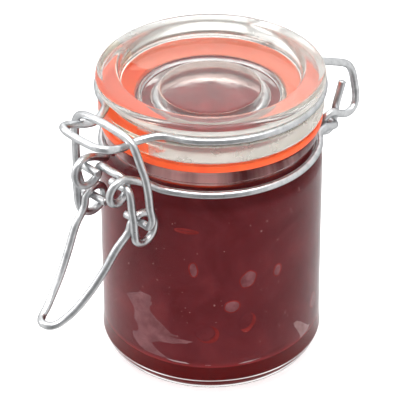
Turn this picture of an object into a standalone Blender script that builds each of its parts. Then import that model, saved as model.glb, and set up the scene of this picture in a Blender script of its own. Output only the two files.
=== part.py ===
"""A small clip-top terrine jar, shut and full of jam.

The glass jar carries a rubber ring and a thick glass lid. One wire runs round the lid and makes
the hinge arms at the back and the nose at the front. A second wire runs round the neck and makes
two eyes at the front and the axle at the back. The lever turns in the two eyes, and the link that
hangs in the lever's loops hooks over the nose and holds the lid down.

Metres, +Z up. The origin is the middle of the base. The clasp faces -Y and the hinge +Y.
Places on the wires are given as (out, across, up): the distance from the jar's axis towards the
clasp, the distance from the plane of symmetry, and the height above the base.
"""
import bpy
from math import asin, cos, degrees, radians, sin, sqrt, tau
from mathutils import Vector

# ---- Driving dimensions ----------------------------------------------------------------------
GAP = 0.0003                   # between pieces that touch

BODY_RADIUS = 0.0285
HEEL_RADIUS = 0.0058           # rounding between the wall and the base
WALL = 0.0029
BASE_THICKNESS = 0.0066
INNER_HEEL_RADIUS = 0.0042
SHOULDER_HEIGHT = 0.0555       # where the outer wall starts to turn in
SHOULDER_RADIUS = 0.0050
NECK_RADIUS = 0.0265           # bottom of the groove that holds the neck wire
NECK_TOP = 0.0634
RIM_RADIUS = 0.0274
RIM_HEIGHT = 0.0675
RIM_ROUNDING = 0.0009
RIM_UNDERSIDE = 0.0012          # height of the slope between neck groove and rim
MOUTH_RADIUS = 0.0188
MOUTH_DEPTH = 0.0052           # straight part of the mouth below the rim
INNER_SHOULDER_HEIGHT = 0.0545

JAM_HEIGHT = 0.0638

RING_RADIUS = 0.0282           # outer radius of the rubber ring
RING_INNER_RADIUS = 0.0191
RING_BOTTOM = RIM_HEIGHT + GAP
RING_TOP = 0.0696
RING_CHAMFER = 0.0003

LID_SEAT = RING_TOP + GAP
LID_RADIUS = 0.0290
LID_TOP = 0.0814
LID_ROUNDING = 0.0015
LID_GROOVE_RADIUS = 0.0270     # bottom of the groove that holds the lid wire
LID_GROOVE_FLANK = 0.0019      # half the height of the groove at its mouth
LID_GROOVE_FLOOR = 0.0007      # half the height of the groove's flat bottom
LID_LOWER_RADIUS = 0.0286
LID_FLOOR = 0.0780             # top of the glass inside the raised rim
LID_RIM_WIDTH = 0.0062
LID_RIM_EDGE = 0.0016          # rounding of the raised rim's inner edge
LID_FILLET = 0.0010            # rounding between the floor and the raised rim
LID_SEAT_EDGE = 0.0018         # rounding at the outside of the seat
PLUG_RADIUS = 0.0179           # the part that drops into the mouth
PLUG_BOTTOM = 0.0662
RECESS_RADIUS = 0.0149         # hollow in the underside
RECESS_TOP = 0.0736
RECESS_TOP_RADIUS = 0.0132
PLUG_CHAMFER = 0.0006

WIRE_RADIUS = 0.0010
LID_WIRE_RADIUS = 0.0283       # centre line round the lid
LID_WIRE_HEIGHT = 0.0771
NECK_WIRE_RADIUS = 0.0277      # centre line round the neck
NECK_WIRE_HEIGHT = 0.0613

EYE_CENTRE = (0.0371, 0.0641)  # (out, up) of the eyes at the front of the neck wire
EYE_RADIUS = 0.0034
LEVER_AXIS = (0.0364, 0.0651)  # (out, up) of the pins on which the lever turns
LEVER_PIN_INNER = 0.0022       # how near the pins' cut ends come to the middle
LOOP_CENTRE = (0.0324, 0.0529) # (out, up) of the lever's loops
LOOP_RADII = (0.0038, 0.0039)
LINK_AXIS = (0.03295, 0.05458) # (out, up) of the pins on which the link turns
LINK_PIN_INNER = 0.0035
HINGE_AXIS = (-0.0296, 0.0590) # (out, up) of the axle at the back
COIL_RADIUS = 0.0029           # the lid wire's turns round that axle

TURN_STEPS = 48
WIRE_SIDES = 2                 # bevel resolution
POINTS_PER_SPAN = 2


# ---- Helpers ---------------------------------------------------------------------------------
def arc(centre_r, centre_z, radius, start, end, steps):
    """Points on an arc in the profile plane, with angles in degrees from the +r direction."""
    points = []
    for i in range(steps + 1):
        angle = radians(start + (end - start) * i / steps)
        points.append((centre_r + radius * cos(angle), centre_z + radius * sin(angle)))
    return points


def spot(out, across, up):
    """A place on a wire, as a point in the part's frame."""
    return Vector((across, -out, up))


def round_jar(radius, up, start, end, step):
    """Places on a level circle. Angles in degrees from the clasp, positive towards +X."""
    count = max(1, round(abs(end - start) / step))
    places = []
    for i in range(count + 1):
        angle = radians(start + (end - start) * i / count)
        places.append(spot(radius * cos(angle), radius * sin(angle), up))
    return places


def turn(centre, radii, start, end, across_start, across_end, step=36):
    """Places on a turn of wire whose axis runs across. Angles in degrees, 0 outward, 90 up."""
    count = max(1, round(abs(end - start) / step))
    places = []
    for i in range(count + 1):
        part = i / count
        angle = radians(start + (end - start) * part)
        across = across_start + (across_end - across_start) * part
        places.append(spot(centre[0] + radii[0] * cos(angle), across, centre[1] + radii[1] * sin(angle)))
    return places


def mirrored(places):
    """The same places on the other side of the plane of symmetry, in the opposite order."""
    return [Vector((-p.x, p.y, p.z)) for p in reversed(places)]


def smooth(places, closed=False):
    """Points along a centripetal Catmull-Rom curve through the places."""
    count = len(places)
    spans = count if closed else count - 1
    points = []
    for i in range(spans):
        if closed:
            a, b, c, d = (places[(i + k) % count] for k in (-1, 0, 1, 2))
        else:
            b, c = places[i], places[i + 1]
            a = places[i - 1] if i > 0 else b * 2 - c
            d = places[i + 2] if i + 2 < count else c * 2 - b
        t0 = 0.0
        t1 = t0 + sqrt((b - a).length)
        t2 = t1 + sqrt((c - b).length)
        t3 = t2 + sqrt((d - c).length)
        for k in range(POINTS_PER_SPAN):
            t = t1 + (t2 - t1) * k / POINTS_PER_SPAN
            ab = a * ((t1 - t) / (t1 - t0)) + b * ((t - t0) / (t1 - t0))
            bc = b * ((t2 - t) / (t2 - t1)) + c * ((t - t1) / (t2 - t1))
            cd = c * ((t3 - t) / (t3 - t2)) + d * ((t - t2) / (t3 - t2))
            abc = ab * ((t2 - t) / (t2 - t0)) + bc * ((t - t0) / (t2 - t0))
            bcd = bc * ((t3 - t) / (t3 - t1)) + cd * ((t - t1) / (t3 - t1))
            points.append(abc * ((t2 - t) / (t2 - t1)) + bcd * ((t - t1) / (t2 - t1)))
    if not closed:
        points.append(places[-1].copy())
    return points


def turned(name, profile, material, closed=False):
    """A solid of revolution about Z from (radius, height) points down its outer side."""
    mesh = bpy.data.meshes.new(name)
    edges = [(i, i + 1) for i in range(len(profile) - 1)]
    if closed:
        edges.append((len(profile) - 1, 0))
    mesh.from_pydata([(r, 0.0, z) for r, z in profile], edges, [])
    obj = bpy.data.objects.new(name, mesh)
    PARTS.objects.link(obj)
    screw = obj.modifiers.new("turn", "SCREW")
    screw.axis = "Z"
    screw.angle = tau
    screw.steps = TURN_STEPS
    screw.render_steps = TURN_STEPS
    screw.use_merge_vertices = True
    screw.merge_threshold = 0.00001
    screw.use_smooth_shade = True
    mesh.materials.append(material)
    return obj


def wire(name, points, material, pivot=(0.0, 0.0, 0.0), closed=False):
    """A round wire through the points, with its origin at the pivot."""
    pivot = Vector(pivot)
    curve = bpy.data.curves.new(name, "CURVE")
    curve.dimensions = "3D"
    curve.bevel_depth = WIRE_RADIUS
    curve.bevel_resolution = WIRE_SIDES
    curve.use_fill_caps = True
    spline = curve.splines.new("POLY")
    spline.points.add(len(points) - 1)
    for target, point in zip(spline.points, points):
        target.co = (*(point - pivot), 1.0)
    spline.use_cyclic_u = closed
    spline.use_smooth = True
    curve.materials.append(material)
    obj = bpy.data.objects.new(name, curve)
    obj.location = pivot
    PARTS.objects.link(obj)
    return obj


def principled(name, colour, roughness, metallic=0.0, transmission=0.0, ior=1.45):
    """A Principled material."""
    material = bpy.data.materials.new(name)
    material.use_nodes = True
    shader = material.node_tree.nodes["Principled BSDF"]
    shader.inputs["Base Color"].default_value = (*colour, 1.0)
    shader.inputs["Roughness"].default_value = roughness
    shader.inputs["Metallic"].default_value = metallic
    shader.inputs["Transmission Weight"].default_value = transmission
    shader.inputs["IOR"].default_value = ior
    return material


# ---- Turned pieces ---------------------------------------------------------------------------
def cavity(inset):
    """The inside of the jar from the middle of its floor up to the mouth, drawn in by inset."""
    radius = BODY_RADIUS - WALL - inset
    floor = BASE_THICKNESS + inset
    heel = INNER_HEEL_RADIUS - inset
    profile = [(0.0, floor)]
    profile += arc(radius - heel, floor + heel, heel, -90, 0, 4)
    mouth = MOUTH_RADIUS - inset
    mouth_foot = RIM_HEIGHT - MOUTH_DEPTH
    rise = mouth_foot - INNER_SHOULDER_HEIGHT
    run = radius - mouth
    for part in (0.0, 0.25, 0.5, 0.75, 1.0):
        ease = part * part * (3.0 - 2.0 * part)
        profile.append((radius - run * ease, INNER_SHOULDER_HEIGHT - inset + rise * part))
    return profile


def make_jar(material):
    """The glass jar: cavity, rim, neck groove, shoulder, wall, heel and flat base."""
    profile = cavity(0.0)
    profile += arc(MOUTH_RADIUS + RIM_ROUNDING, RIM_HEIGHT - RIM_ROUNDING, RIM_ROUNDING, 180, 90, 3)
    profile += arc(RIM_RADIUS - RIM_ROUNDING, RIM_HEIGHT - RIM_ROUNDING, RIM_ROUNDING, 90, 0, 3)
    profile.append((RIM_RADIUS, NECK_TOP + RIM_UNDERSIDE))
    profile.append((NECK_RADIUS, NECK_TOP))
    shoulder_centre = BODY_RADIUS - SHOULDER_RADIUS
    shoulder_end = sqrt(SHOULDER_RADIUS ** 2 - (NECK_RADIUS - shoulder_centre) ** 2)
    end_angle = degrees(asin(shoulder_end / SHOULDER_RADIUS))
    profile += arc(shoulder_centre, SHOULDER_HEIGHT, SHOULDER_RADIUS, end_angle, 0, 4)
    profile += arc(BODY_RADIUS - HEEL_RADIUS, HEEL_RADIUS, HEEL_RADIUS, 0, -90, 6)
    profile.append((0.0, 0.0))
    return turned("jar", profile, material)


def make_jam(material):
    """The jam fills the cavity up to its level."""
    inside = [point for point in cavity(GAP) if point[1] < JAM_HEIGHT]
    profile = [(0.0, JAM_HEIGHT), (MOUTH_RADIUS - GAP, JAM_HEIGHT)]
    profile += reversed(inside)
    return turned("jam", profile, material)


def make_ring(material):
    """The flat rubber ring between rim and lid."""
    profile = [
        (RING_RADIUS - RING_CHAMFER, RING_TOP),
        (RING_RADIUS, RING_TOP - RING_CHAMFER),
        (RING_RADIUS, RING_BOTTOM + RING_CHAMFER),
        (RING_RADIUS - RING_CHAMFER, RING_BOTTOM),
        (RING_INNER_RADIUS, RING_BOTTOM),
        (RING_INNER_RADIUS, RING_TOP),
    ]
    return turned("rubber_ring", profile, material, closed=True)


def make_lid(material):
    """The glass lid: sunk middle, raised rim, wire groove, seat, plug and hollow underside."""
    rim_inner = LID_RADIUS - LID_RIM_WIDTH
    profile = [(0.0, LID_FLOOR)]
    profile += arc(rim_inner - LID_FILLET, LID_FLOOR + LID_FILLET, LID_FILLET, -90, 0, 3)
    profile += arc(rim_inner + LID_RIM_EDGE, LID_TOP - LID_RIM_EDGE, LID_RIM_EDGE, 180, 90, 2)
    profile += arc(LID_RADIUS - LID_ROUNDING, LID_TOP - LID_ROUNDING, LID_ROUNDING, 90, 0, 3)
    profile.append((LID_RADIUS, LID_WIRE_HEIGHT + LID_GROOVE_FLANK))
    profile.append((LID_GROOVE_RADIUS, LID_WIRE_HEIGHT + LID_GROOVE_FLOOR))
    profile.append((LID_GROOVE_RADIUS, LID_WIRE_HEIGHT - LID_GROOVE_FLOOR))
    profile.append((LID_LOWER_RADIUS, LID_WIRE_HEIGHT - LID_GROOVE_FLANK))
    profile += arc(LID_LOWER_RADIUS - LID_SEAT_EDGE, LID_SEAT + LID_SEAT_EDGE, LID_SEAT_EDGE, 0, -90, 2)
    profile.append((PLUG_RADIUS + PLUG_CHAMFER, LID_SEAT))
    profile.append((PLUG_RADIUS, LID_SEAT - PLUG_CHAMFER))
    profile.append((PLUG_RADIUS, PLUG_BOTTOM + PLUG_CHAMFER))
    profile.append((PLUG_RADIUS - PLUG_CHAMFER, PLUG_BOTTOM))
    profile.append((RECESS_RADIUS + PLUG_CHAMFER, PLUG_BOTTOM))
    profile.append((RECESS_RADIUS, PLUG_BOTTOM + PLUG_CHAMFER))
    profile.append((RECESS_TOP_RADIUS, RECESS_TOP - PLUG_CHAMFER))
    profile.append((RECESS_TOP_RADIUS - PLUG_CHAMFER, RECESS_TOP))
    profile.append((0.0, RECESS_TOP))
    return turned("lid", profile, material)


# ---- Wires -----------------------------------------------------------------------------------
def make_neck_wire(material):
    """Round the neck, with two eyes at the front and an axle at the back."""
    axle_out, axle_up = HINGE_AXIS
    half = [spot(0.0344, 0.0, 0.0660), spot(0.0343, 0.0030, 0.0660)]
    half += turn(EYE_CENTRE, (EYE_RADIUS, EYE_RADIUS), 170, 465, 0.0049, 0.0070)
    half += [spot(0.0330, 0.0078, 0.0661), spot(0.0298, 0.0088, 0.0641), spot(0.0272, 0.0101, 0.0622)]
    half += round_jar(NECK_WIRE_RADIUS, NECK_WIRE_HEIGHT, 26, 138, 14)
    half += [
        spot(-0.0243, 0.0172, 0.0609),
        spot(-0.0278, 0.0166, 0.0598),
        spot(axle_out + 0.0001, 0.0153, axle_up + 0.0001),
        spot(axle_out, 0.0138, axle_up),
        spot(axle_out, 0.0080, axle_up),
        spot(axle_out, 0.0, axle_up),
    ]
    return wire("neck_wire", smooth(half + mirrored(half)[1:-1], closed=True), material, closed=True)


def make_lid_wire(material):
    """Round the lid, with the nose at the front and the two hinge arms at the back."""
    half = [
        spot(0.0439, 0.0, 0.0790),
        spot(0.0439, 0.0030, 0.0791),
        spot(0.0437, 0.0056, 0.0792),
        spot(0.0428, 0.0073, 0.0791),
        spot(0.0412, 0.0080, 0.0786),
        spot(0.0390, 0.0080, 0.0779),
        spot(0.0362, 0.0074, 0.0770),
        spot(0.0331, 0.0069, 0.0766),
        spot(0.0304, 0.0077, 0.0768),
    ]
    half += round_jar(LID_WIRE_RADIUS, LID_WIRE_HEIGHT, 21, 153, 13.2)
    half += [
        spot(-0.0280, 0.0119, 0.0767),
        spot(-0.0303, 0.0120, 0.0758),
        spot(-0.0336, 0.0126, 0.0745),
        spot(-0.0362, 0.0129, 0.0731),
        spot(-0.0378, 0.0131, 0.0709),
        spot(-0.0386, 0.0135, 0.0670),
        spot(-0.0389, 0.0139, 0.0633),
        spot(-0.0382, 0.0142, 0.0609),
        spot(-0.0364, 0.0145, 0.0598),
        spot(-0.0342, 0.0146, 0.0598),
    ]
    half += turn(HINGE_AXIS, (COIL_RADIUS, COIL_RADIUS), 140, -170, 0.0145, 0.0124)
    half += [spot(-0.0331, 0.0123, 0.0616), spot(-0.0342, 0.0123, 0.0648), spot(-0.0354, 0.0123, 0.0682)]
    return wire("lid_wire", smooth(mirrored(half)[:-1] + half), material)


def make_lever(material):
    """The handle and, on each side, a loop for the link, an arm and a pin in the neck wire's eye."""
    out, up = LEVER_AXIS
    half = [
        spot(0.0578, 0.0, 0.0317),
        spot(0.0573, 0.0015, 0.0317),
        spot(0.0560, 0.0026, 0.0320),
        spot(0.0538, 0.0034, 0.0330),
        spot(0.0513, 0.0043, 0.0348),
        spot(0.0470, 0.0055, 0.0390),
        spot(0.0432, 0.0066, 0.0440),
        spot(0.0398, 0.0075, 0.0492),
    ]
    half += turn(LOOP_CENTRE, LOOP_RADII, 0, 360, 0.0081, 0.0103)
    half += [
        spot(0.0365, 0.0103, 0.0570),
        spot(0.0368, 0.0101, 0.0605),
        spot(0.0367, 0.0096, 0.0634),
        spot(out, 0.0083, up),
        spot(out, 0.0067, up),
        spot(out, LEVER_PIN_INNER, up),
    ]
    pivot = spot(out, 0.0, up)
    return wire("lever", smooth(mirrored(half)[:-1] + half), material, pivot)


def make_link(material):
    """The bight that hooks over the nose, two bowed legs and a pin at the foot of each."""
    out, up = LINK_AXIS
    half = [
        spot(0.0365, 0.0, 0.0807),
        spot(0.0363, 0.0040, 0.0803),
        spot(0.0360, 0.0070, 0.0797),
        spot(0.0358, 0.0094, 0.0786),
        spot(0.0357, 0.0107, 0.0768),
        spot(0.0352, 0.0117, 0.0735),
        spot(0.0344, 0.0126, 0.0692),
        spot(0.0340, 0.0131, 0.0650),
        spot(0.0337, 0.0133, 0.0607),
        spot(out, 0.0132, up + 0.0022),
        spot(out, 0.0120, up),
        spot(out, 0.0103, up),
        spot(out, LINK_PIN_INNER, up),
    ]
    pivot = spot(out, 0.0, up)
    return wire("link", smooth(mirrored(half)[:-1] + half), material, pivot)


# ---- Scene -----------------------------------------------------------------------------------
for old in list(bpy.data.objects):
    bpy.data.objects.remove(old, do_unlink=True)

PARTS = bpy.data.collections.new("terrine_jar")
bpy.context.scene.collection.children.link(PARTS)

GLASS = principled("clear_glass", (0.93, 0.96, 0.95), 0.02, transmission=1.0, ior=1.5)
JAM = principled("red_jam", (0.20, 0.020, 0.018), 0.15)
RUBBER = principled("orange_rubber", (1.0, 0.16, 0.05), 0.45)
ZINC = principled("zinc_wire", (0.78, 0.79, 0.80), 0.25, metallic=1.0)

make_jar(GLASS)
make_jam(JAM)
make_ring(RUBBER)
make_lid(GLASS)
make_neck_wire(ZINC)
make_lid_wire(ZINC)
make_lever(ZINC)
make_link(ZINC)
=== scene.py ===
"""The finished look of a small clip-top glass jar of red jam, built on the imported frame.

Metres, +Z up. The origin is the middle of the base, the clasp faces -Y and the hinge +Y.
Places on the wires are (out, across, up): the distance from the jar's axis towards the clasp, the
distance from the plane of symmetry and the height. Places in the jam are (angle, height), with the
angle in degrees round the jar from the clasp, positive towards +X.
"""
from math import asin, atan2, cos, degrees, pi, radians, sin, sqrt, tau
from random import Random

import bpy
from mathutils import Matrix, Vector, noise


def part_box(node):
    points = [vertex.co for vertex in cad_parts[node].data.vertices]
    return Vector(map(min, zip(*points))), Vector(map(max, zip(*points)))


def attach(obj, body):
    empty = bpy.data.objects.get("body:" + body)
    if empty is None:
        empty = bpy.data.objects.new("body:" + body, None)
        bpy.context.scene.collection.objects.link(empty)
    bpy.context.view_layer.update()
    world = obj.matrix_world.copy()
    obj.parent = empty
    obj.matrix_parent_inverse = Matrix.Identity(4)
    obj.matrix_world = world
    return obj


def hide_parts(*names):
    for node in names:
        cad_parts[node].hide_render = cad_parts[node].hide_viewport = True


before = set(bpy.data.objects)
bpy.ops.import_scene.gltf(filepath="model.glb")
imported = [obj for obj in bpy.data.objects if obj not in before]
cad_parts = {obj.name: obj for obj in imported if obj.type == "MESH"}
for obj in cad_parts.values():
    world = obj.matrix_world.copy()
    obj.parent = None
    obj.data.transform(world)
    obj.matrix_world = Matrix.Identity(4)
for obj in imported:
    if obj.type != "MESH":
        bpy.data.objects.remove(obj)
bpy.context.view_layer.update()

# ---- Camera ------------------------------------------------------------------
CAMERA_AZIMUTH = 46.0
CAMERA_ELEVATION = 32.93
CAMERA_DISTANCE = 0.646
CAMERA_ROLL = -0.0053          # radians
CAMERA_LENS = 225.3            # mm
SENSOR_WIDTH = 36.0            # mm
AIM = Vector((-0.00199, -0.00206, 0.04198))

# ---- Floor and light ---------------------------------------------------------
# Brightness is 1 for white. A reach is how nearly a place on the surround lies in a direction: the
# first value is where a dim part begins and the second where it is full.
FLOOR_HALF_WIDTH = 3.0
FLOOR_GAP = 0.0002             # thin air under the glass, so that the base mirrors the jam
FLOOR_GLOW = 0.25              # the sweep is lit from below, so that the jar hardly shades it
SURROUND_STRENGTH = 0.85
TENT_OPENING_ELEVATION = 20.0  # the studio tent is open on the camera's side, and so dimmer
TENT_OPENING_REACH = (0.55, 0.95)
TENT_OPENING_COLOUR = (0.30, 0.30, 0.31)
GROUND_ELEVATION = -33.0       # glass and wire mirror a dim ground in front, not the white floor
GROUND_REACH = (0.66, 0.90)
GROUND_COLOUR = (0.30, 0.30, 0.30, 1.0)
LIGHTS_AIM = Vector((0.0, 0.0, 0.04))
# Each softbox: name, azimuth, elevation, distance, width and height, and power.
SOFTBOXES = (
    ("top_softbox", 60.0, 80.0, 0.9, (0.8, 0.8), 8.0),
    ("left_softbox", -50.0, 40.0, 0.9, (0.5, 0.9), 3.0),
    ("back_softbox", 226.0, 36.0, 0.9, (1.0, 0.5), 1.0),
)

# ---- Glass, jam and rubber: sizes from the frame -----------------------------
BODY_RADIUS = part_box("jar")[1][0]
RIM_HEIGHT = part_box("jar")[1][2]
RING_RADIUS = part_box("rubber_ring")[1][0]
RING_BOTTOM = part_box("rubber_ring")[0][2]
RING_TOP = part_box("rubber_ring")[1][2]
LID_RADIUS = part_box("lid")[1][0]
LID_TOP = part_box("lid")[1][2]
PLUG_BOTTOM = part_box("lid")[0][2]
JAM_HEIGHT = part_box("jam")[1][2]

GAP = 0.0003
WALL = 0.0029
BASE_THICKNESS = 0.0066
HEEL_RADIUS = 0.0058
INNER_HEEL_RADIUS = 0.0042
SHOULDER_HEIGHT = 0.0555
SHOULDER_RADIUS = 0.0050
INNER_SHOULDER_HEIGHT = 0.0545
SHOULDER_STEPS = 16
NECK_RADIUS = 0.0265
NECK_TOP = 0.0634
RIM_RADIUS = 0.0274
RIM_UNDERSIDE = 0.0012
RIM_ROUNDING = 0.0009
RIM_CORNER = 0.0003            # the neck is straight this far below the rim
MOUTH_RADIUS = 0.0188
MOUTH_DEPTH = 0.0052
WETTING = 0.00012              # how far the jam reaches into the glass, so that no air gap shows

RING_INNER_RADIUS = 0.0191
RING_ROUNDING = 0.0004
# Near the clasp the ring is pressed flat against the lid's seat, and shows through the glass.
CONTACT_START = -78.0          # degrees round the jar
CONTACT_END = 14.0
CONTACT_SPREAD = 10.0          # how ragged its ends are, in degrees
CONTACT_PATCHES = 300.0        # patches a metre along those ends
CONTACT_RADIUS = 0.0267
CONTACT_BITE = 0.00004         # how far the ring reaches into the lid there
WET_GROOVE_END = 4.0           # the clear look ends sooner in the lid's groove

LID_SEAT = RING_TOP + GAP
LID_ROUNDING = 0.0015
LID_GROOVE_RADIUS = 0.0270
LID_GROOVE_FLANK = 0.0019
LID_LOWER_RADIUS = 0.0286
LID_SEAT_EDGE = 0.0018
LID_FLOOR = 0.0780
LID_RIM_WIDTH = 0.0062
LID_RIM_EDGE = 0.0016
LID_FILLET = 0.0010
LID_GROOVE_STEPS = 16
LID_GROOVE_FULLNESS = 0.68     # above 0.5, the groove has a flat bottom
LID_FLOOR_RUN_ON = 0.0005
LID_SIDE_RUN_ON = 0.0004
LID_SEAT_RUN_ON = 0.0006
PLUG_RADIUS = 0.0179
PLUG_CHAMFER = 0.0006
RECESS_RADIUS = 0.0149
RECESS_TOP = 0.0736
RECESS_TOP_RADIUS = 0.0132

SEAM_HEIGHT = 0.0056           # the mould's seam round the heel, a low rounded bead
SEAM_WIDTH = 0.0010
SEAM_RISE = 0.00024

JAR_WAVE = 0.00006             # how far the glass waves in and out
LID_WAVE = 0.00005
JAM_EDGE = 0.0004              # the width of the jam's rounded top edge
JAM_TOP_DIP = 0.0003           # the jam's top and its edge lie at least this far under its height
JAM_TOP_SWELL = 0.0005         # how high the top swells, and how long its swells are
JAM_TOP_SWELL_LENGTH = 0.006

TURN_STEPS = 240
FIRST_RING = 0.004             # the radius of the first ring on a flat face
RUN_ON = 0.001                 # a straight stretch begins this far past an arc
HAIR = 0.0001                  # heights and radii that are nearer than this count as one

# ---- Wires -------------------------------------------------------------------
WIRE_RADIUS = 0.0010
LID_WIRE_RADIUS = 0.0283
LID_WIRE_HEIGHT = 0.0771
NECK_WIRE_RADIUS = 0.0277
NECK_WIRE_HEIGHT = 0.0613
EYE_CENTRE = (0.0371, 0.0641)
EYE_RADIUS = 0.0034
LEVER_AXIS = (0.0364, 0.0651)
LEVER_PIN_INNER = 0.0022
LOOP_CENTRE = (0.0324, 0.0529)
LOOP_RADII = (0.0038, 0.0039)
LINK_AXIS = (0.03295, 0.05458)
LINK_PIN_INNER = 0.0035
HINGE_AXIS = (-0.0296, 0.0590)
COIL_RADIUS = 0.0029
POINTS_PER_SPAN = 8
WIRE_SIDES = 6                 # bevel resolution
CUT_CHAMFER = 0.0002           # the cut ends are slightly rounded


# ---- Helpers: directions, profiles and turned meshes -------------------------
def direction(azimuth, elevation):
    """A unit vector. Angles in degrees, azimuth 0 towards the clasp and 90 towards +X."""
    a = radians(azimuth)
    e = radians(elevation)
    return Vector((sin(a) * cos(e), -cos(a) * cos(e), sin(e)))


def arc(centre_r, centre_z, radius, start, end, steps):
    """Points on an arc in the profile plane, with angles in degrees from the +r direction."""
    points = []
    for i in range(steps + 1):
        angle = radians(start + (end - start) * i / steps)
        points.append((centre_r + radius * cos(angle), centre_z + radius * sin(angle)))
    return points


def straight(start, end, steps):
    """Points along a straight stretch of profile, without its end."""
    return [
        (start[0] + (end[0] - start[0]) * i / steps, start[1] + (end[1] - start[1]) * i / steps)
        for i in range(steps)
    ]


def waviness(radius, angle, height, amount, scale):
    """A small smooth change of radius, as blown and pressed glass has."""
    place = Vector((cos(angle) * radius, sin(angle) * radius, height)) / scale
    return amount * noise.noise(place)


def turned(name, profile, material, closed=False, wave=0.0, wave_scale=0.012):
    """A solid of revolution about Z from (radius, height) points, waved inward by up to wave."""
    verts = []
    faces = []
    rows = []
    for radius, height in profile:
        if radius < 1e-7:
            rows.append([len(verts)])
            verts.append((0.0, 0.0, height))
            continue
        row = []
        for i in range(TURN_STEPS):
            angle = tau * i / TURN_STEPS
            r = radius
            if wave:
                r += waviness(radius, angle, height, wave, wave_scale) - wave
            row.append(len(verts))
            verts.append((r * cos(angle), r * sin(angle), height))
        rows.append(row)
    pairs = list(zip(rows, rows[1:]))
    if closed:
        pairs.append((rows[-1], rows[0]))
    for upper, lower in pairs:
        for i in range(TURN_STEPS):
            j = (i + 1) % TURN_STEPS
            if len(upper) == 1:
                faces.append((upper[0], lower[j], lower[i]))
            elif len(lower) == 1:
                faces.append((upper[i], upper[j], lower[0]))
            else:
                faces.append((upper[i], upper[j], lower[j], lower[i]))
    return finished_mesh(name, verts, faces, material)


def finished_mesh(name, verts, faces, material):
    """A smooth-shaded mesh object with its normals outward."""
    mesh = bpy.data.meshes.new(name)
    mesh.from_pydata(verts, [], faces)
    mesh.validate()
    for polygon in mesh.polygons:
        polygon.use_smooth = True
    mesh.materials.append(material)
    obj = bpy.data.objects.new(name, mesh)
    bpy.context.scene.collection.objects.link(obj)
    turn_outward(mesh)
    return obj


def turn_outward(mesh):
    """Flips the faces if the mesh's signed volume is negative."""
    volume = 0.0
    mesh.calc_loop_triangles()
    for triangle in mesh.loop_triangles:
        a, b, c = (mesh.vertices[i].co for i in triangle.vertices)
        volume += a.dot(b.cross(c))
    if volume < 0.0:
        mesh.flip_normals()


# ---- Helpers: wires ----------------------------------------------------------
def spot(out, across, up):
    """A place on a wire, as a point in the part's frame."""
    return Vector((across, -out, up))


def spots(*places):
    """Places on a wire, each given as (out, across, up)."""
    return [spot(*place) for place in places]


def round_jar(radius, up, start, end, step):
    """Places on a level circle. Angles in degrees from the clasp, positive towards +X."""
    count = max(1, round(abs(end - start) / step))
    places = []
    for i in range(count + 1):
        angle = radians(start + (end - start) * i / count)
        places.append(spot(radius * cos(angle), radius * sin(angle), up))
    return places


def turn(centre, radii, start, end, across_start, across_end, step=36):
    """Places on a turn of wire whose axis runs across. Angles in degrees, 0 outward, 90 up."""
    count = max(1, round(abs(end - start) / step))
    places = []
    for i in range(count + 1):
        part = i / count
        angle = radians(start + (end - start) * part)
        across = across_start + (across_end - across_start) * part
        out = centre[0] + radii[0] * cos(angle)
        up = centre[1] + radii[1] * sin(angle)
        places.append(spot(out, across, up))
    return places


def mirrored(places):
    """The same places on the other side of the plane of symmetry, in the opposite order."""
    return [Vector((-p.x, p.y, p.z)) for p in reversed(places)]


def smooth(places, closed=False):
    """Points along a centripetal Catmull-Rom curve through the places."""
    count = len(places)
    spans = count if closed else count - 1
    points = []
    for i in range(spans):
        if closed:
            a, b, c, d = (places[(i + k) % count] for k in (-1, 0, 1, 2))
        else:
            b, c = places[i], places[i + 1]
            a = places[i - 1] if i > 0 else b * 2 - c
            d = places[i + 2] if i + 2 < count else c * 2 - b
        t0 = 0.0
        t1 = t0 + sqrt((b - a).length)
        t2 = t1 + sqrt((c - b).length)
        t3 = t2 + sqrt((d - c).length)
        for k in range(POINTS_PER_SPAN):
            t = t1 + (t2 - t1) * k / POINTS_PER_SPAN
            ab = a * ((t1 - t) / (t1 - t0)) + b * ((t - t0) / (t1 - t0))
            bc = b * ((t2 - t) / (t2 - t1)) + c * ((t - t1) / (t2 - t1))
            cd = c * ((t3 - t) / (t3 - t2)) + d * ((t - t2) / (t3 - t2))
            abc = ab * ((t2 - t) / (t2 - t0)) + bc * ((t - t0) / (t2 - t0))
            bcd = bc * ((t3 - t) / (t3 - t1)) + cd * ((t - t1) / (t3 - t1))
            points.append(abc * ((t2 - t) / (t2 - t1)) + bcd * ((t - t1) / (t2 - t1)))
    if not closed:
        points.append(places[-1].copy())
    return points


def chamfered(points):
    """The points with one more just before each cut end, and the wire's relative radius at each."""
    first = points[0] + (points[1] - points[0]).normalized() * CUT_CHAMFER
    last = points[-1] + (points[-2] - points[-1]).normalized() * CUT_CHAMFER
    points = [points[0], first] + points[1:-1] + [last, points[-1]]
    thickness = [1.0] * len(points)
    thickness[0] = thickness[-1] = 1.0 - CUT_CHAMFER / WIRE_RADIUS
    return points, thickness


def wire(name, points, material, body, closed=False):
    """A round wire through the points that replaces the CAD node and rides on its body."""
    thickness = [1.0] * len(points)
    if not closed:
        points, thickness = chamfered(points)
    curve = bpy.data.curves.new(name, "CURVE")
    curve.dimensions = "3D"
    curve.bevel_depth = WIRE_RADIUS
    curve.bevel_resolution = WIRE_SIDES
    curve.use_fill_caps = True
    spline = curve.splines.new("POLY")
    spline.points.add(len(points) - 1)
    for target, point, radius in zip(spline.points, points, thickness):
        target.co = (*point, 1.0)
        target.radius = radius
    spline.use_cyclic_u = closed
    spline.use_smooth = True
    curve.materials.append(material)
    obj = bpy.data.objects.new(name, curve)
    bpy.context.scene.collection.objects.link(obj)
    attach(obj, body)
    return obj


# ---- Helpers: materials ------------------------------------------------------
MIX_COLOUR_A = 6               # sockets of a colour Mix node
MIX_COLOUR_B = 7
MIX_COLOUR_RESULT = 2


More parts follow.
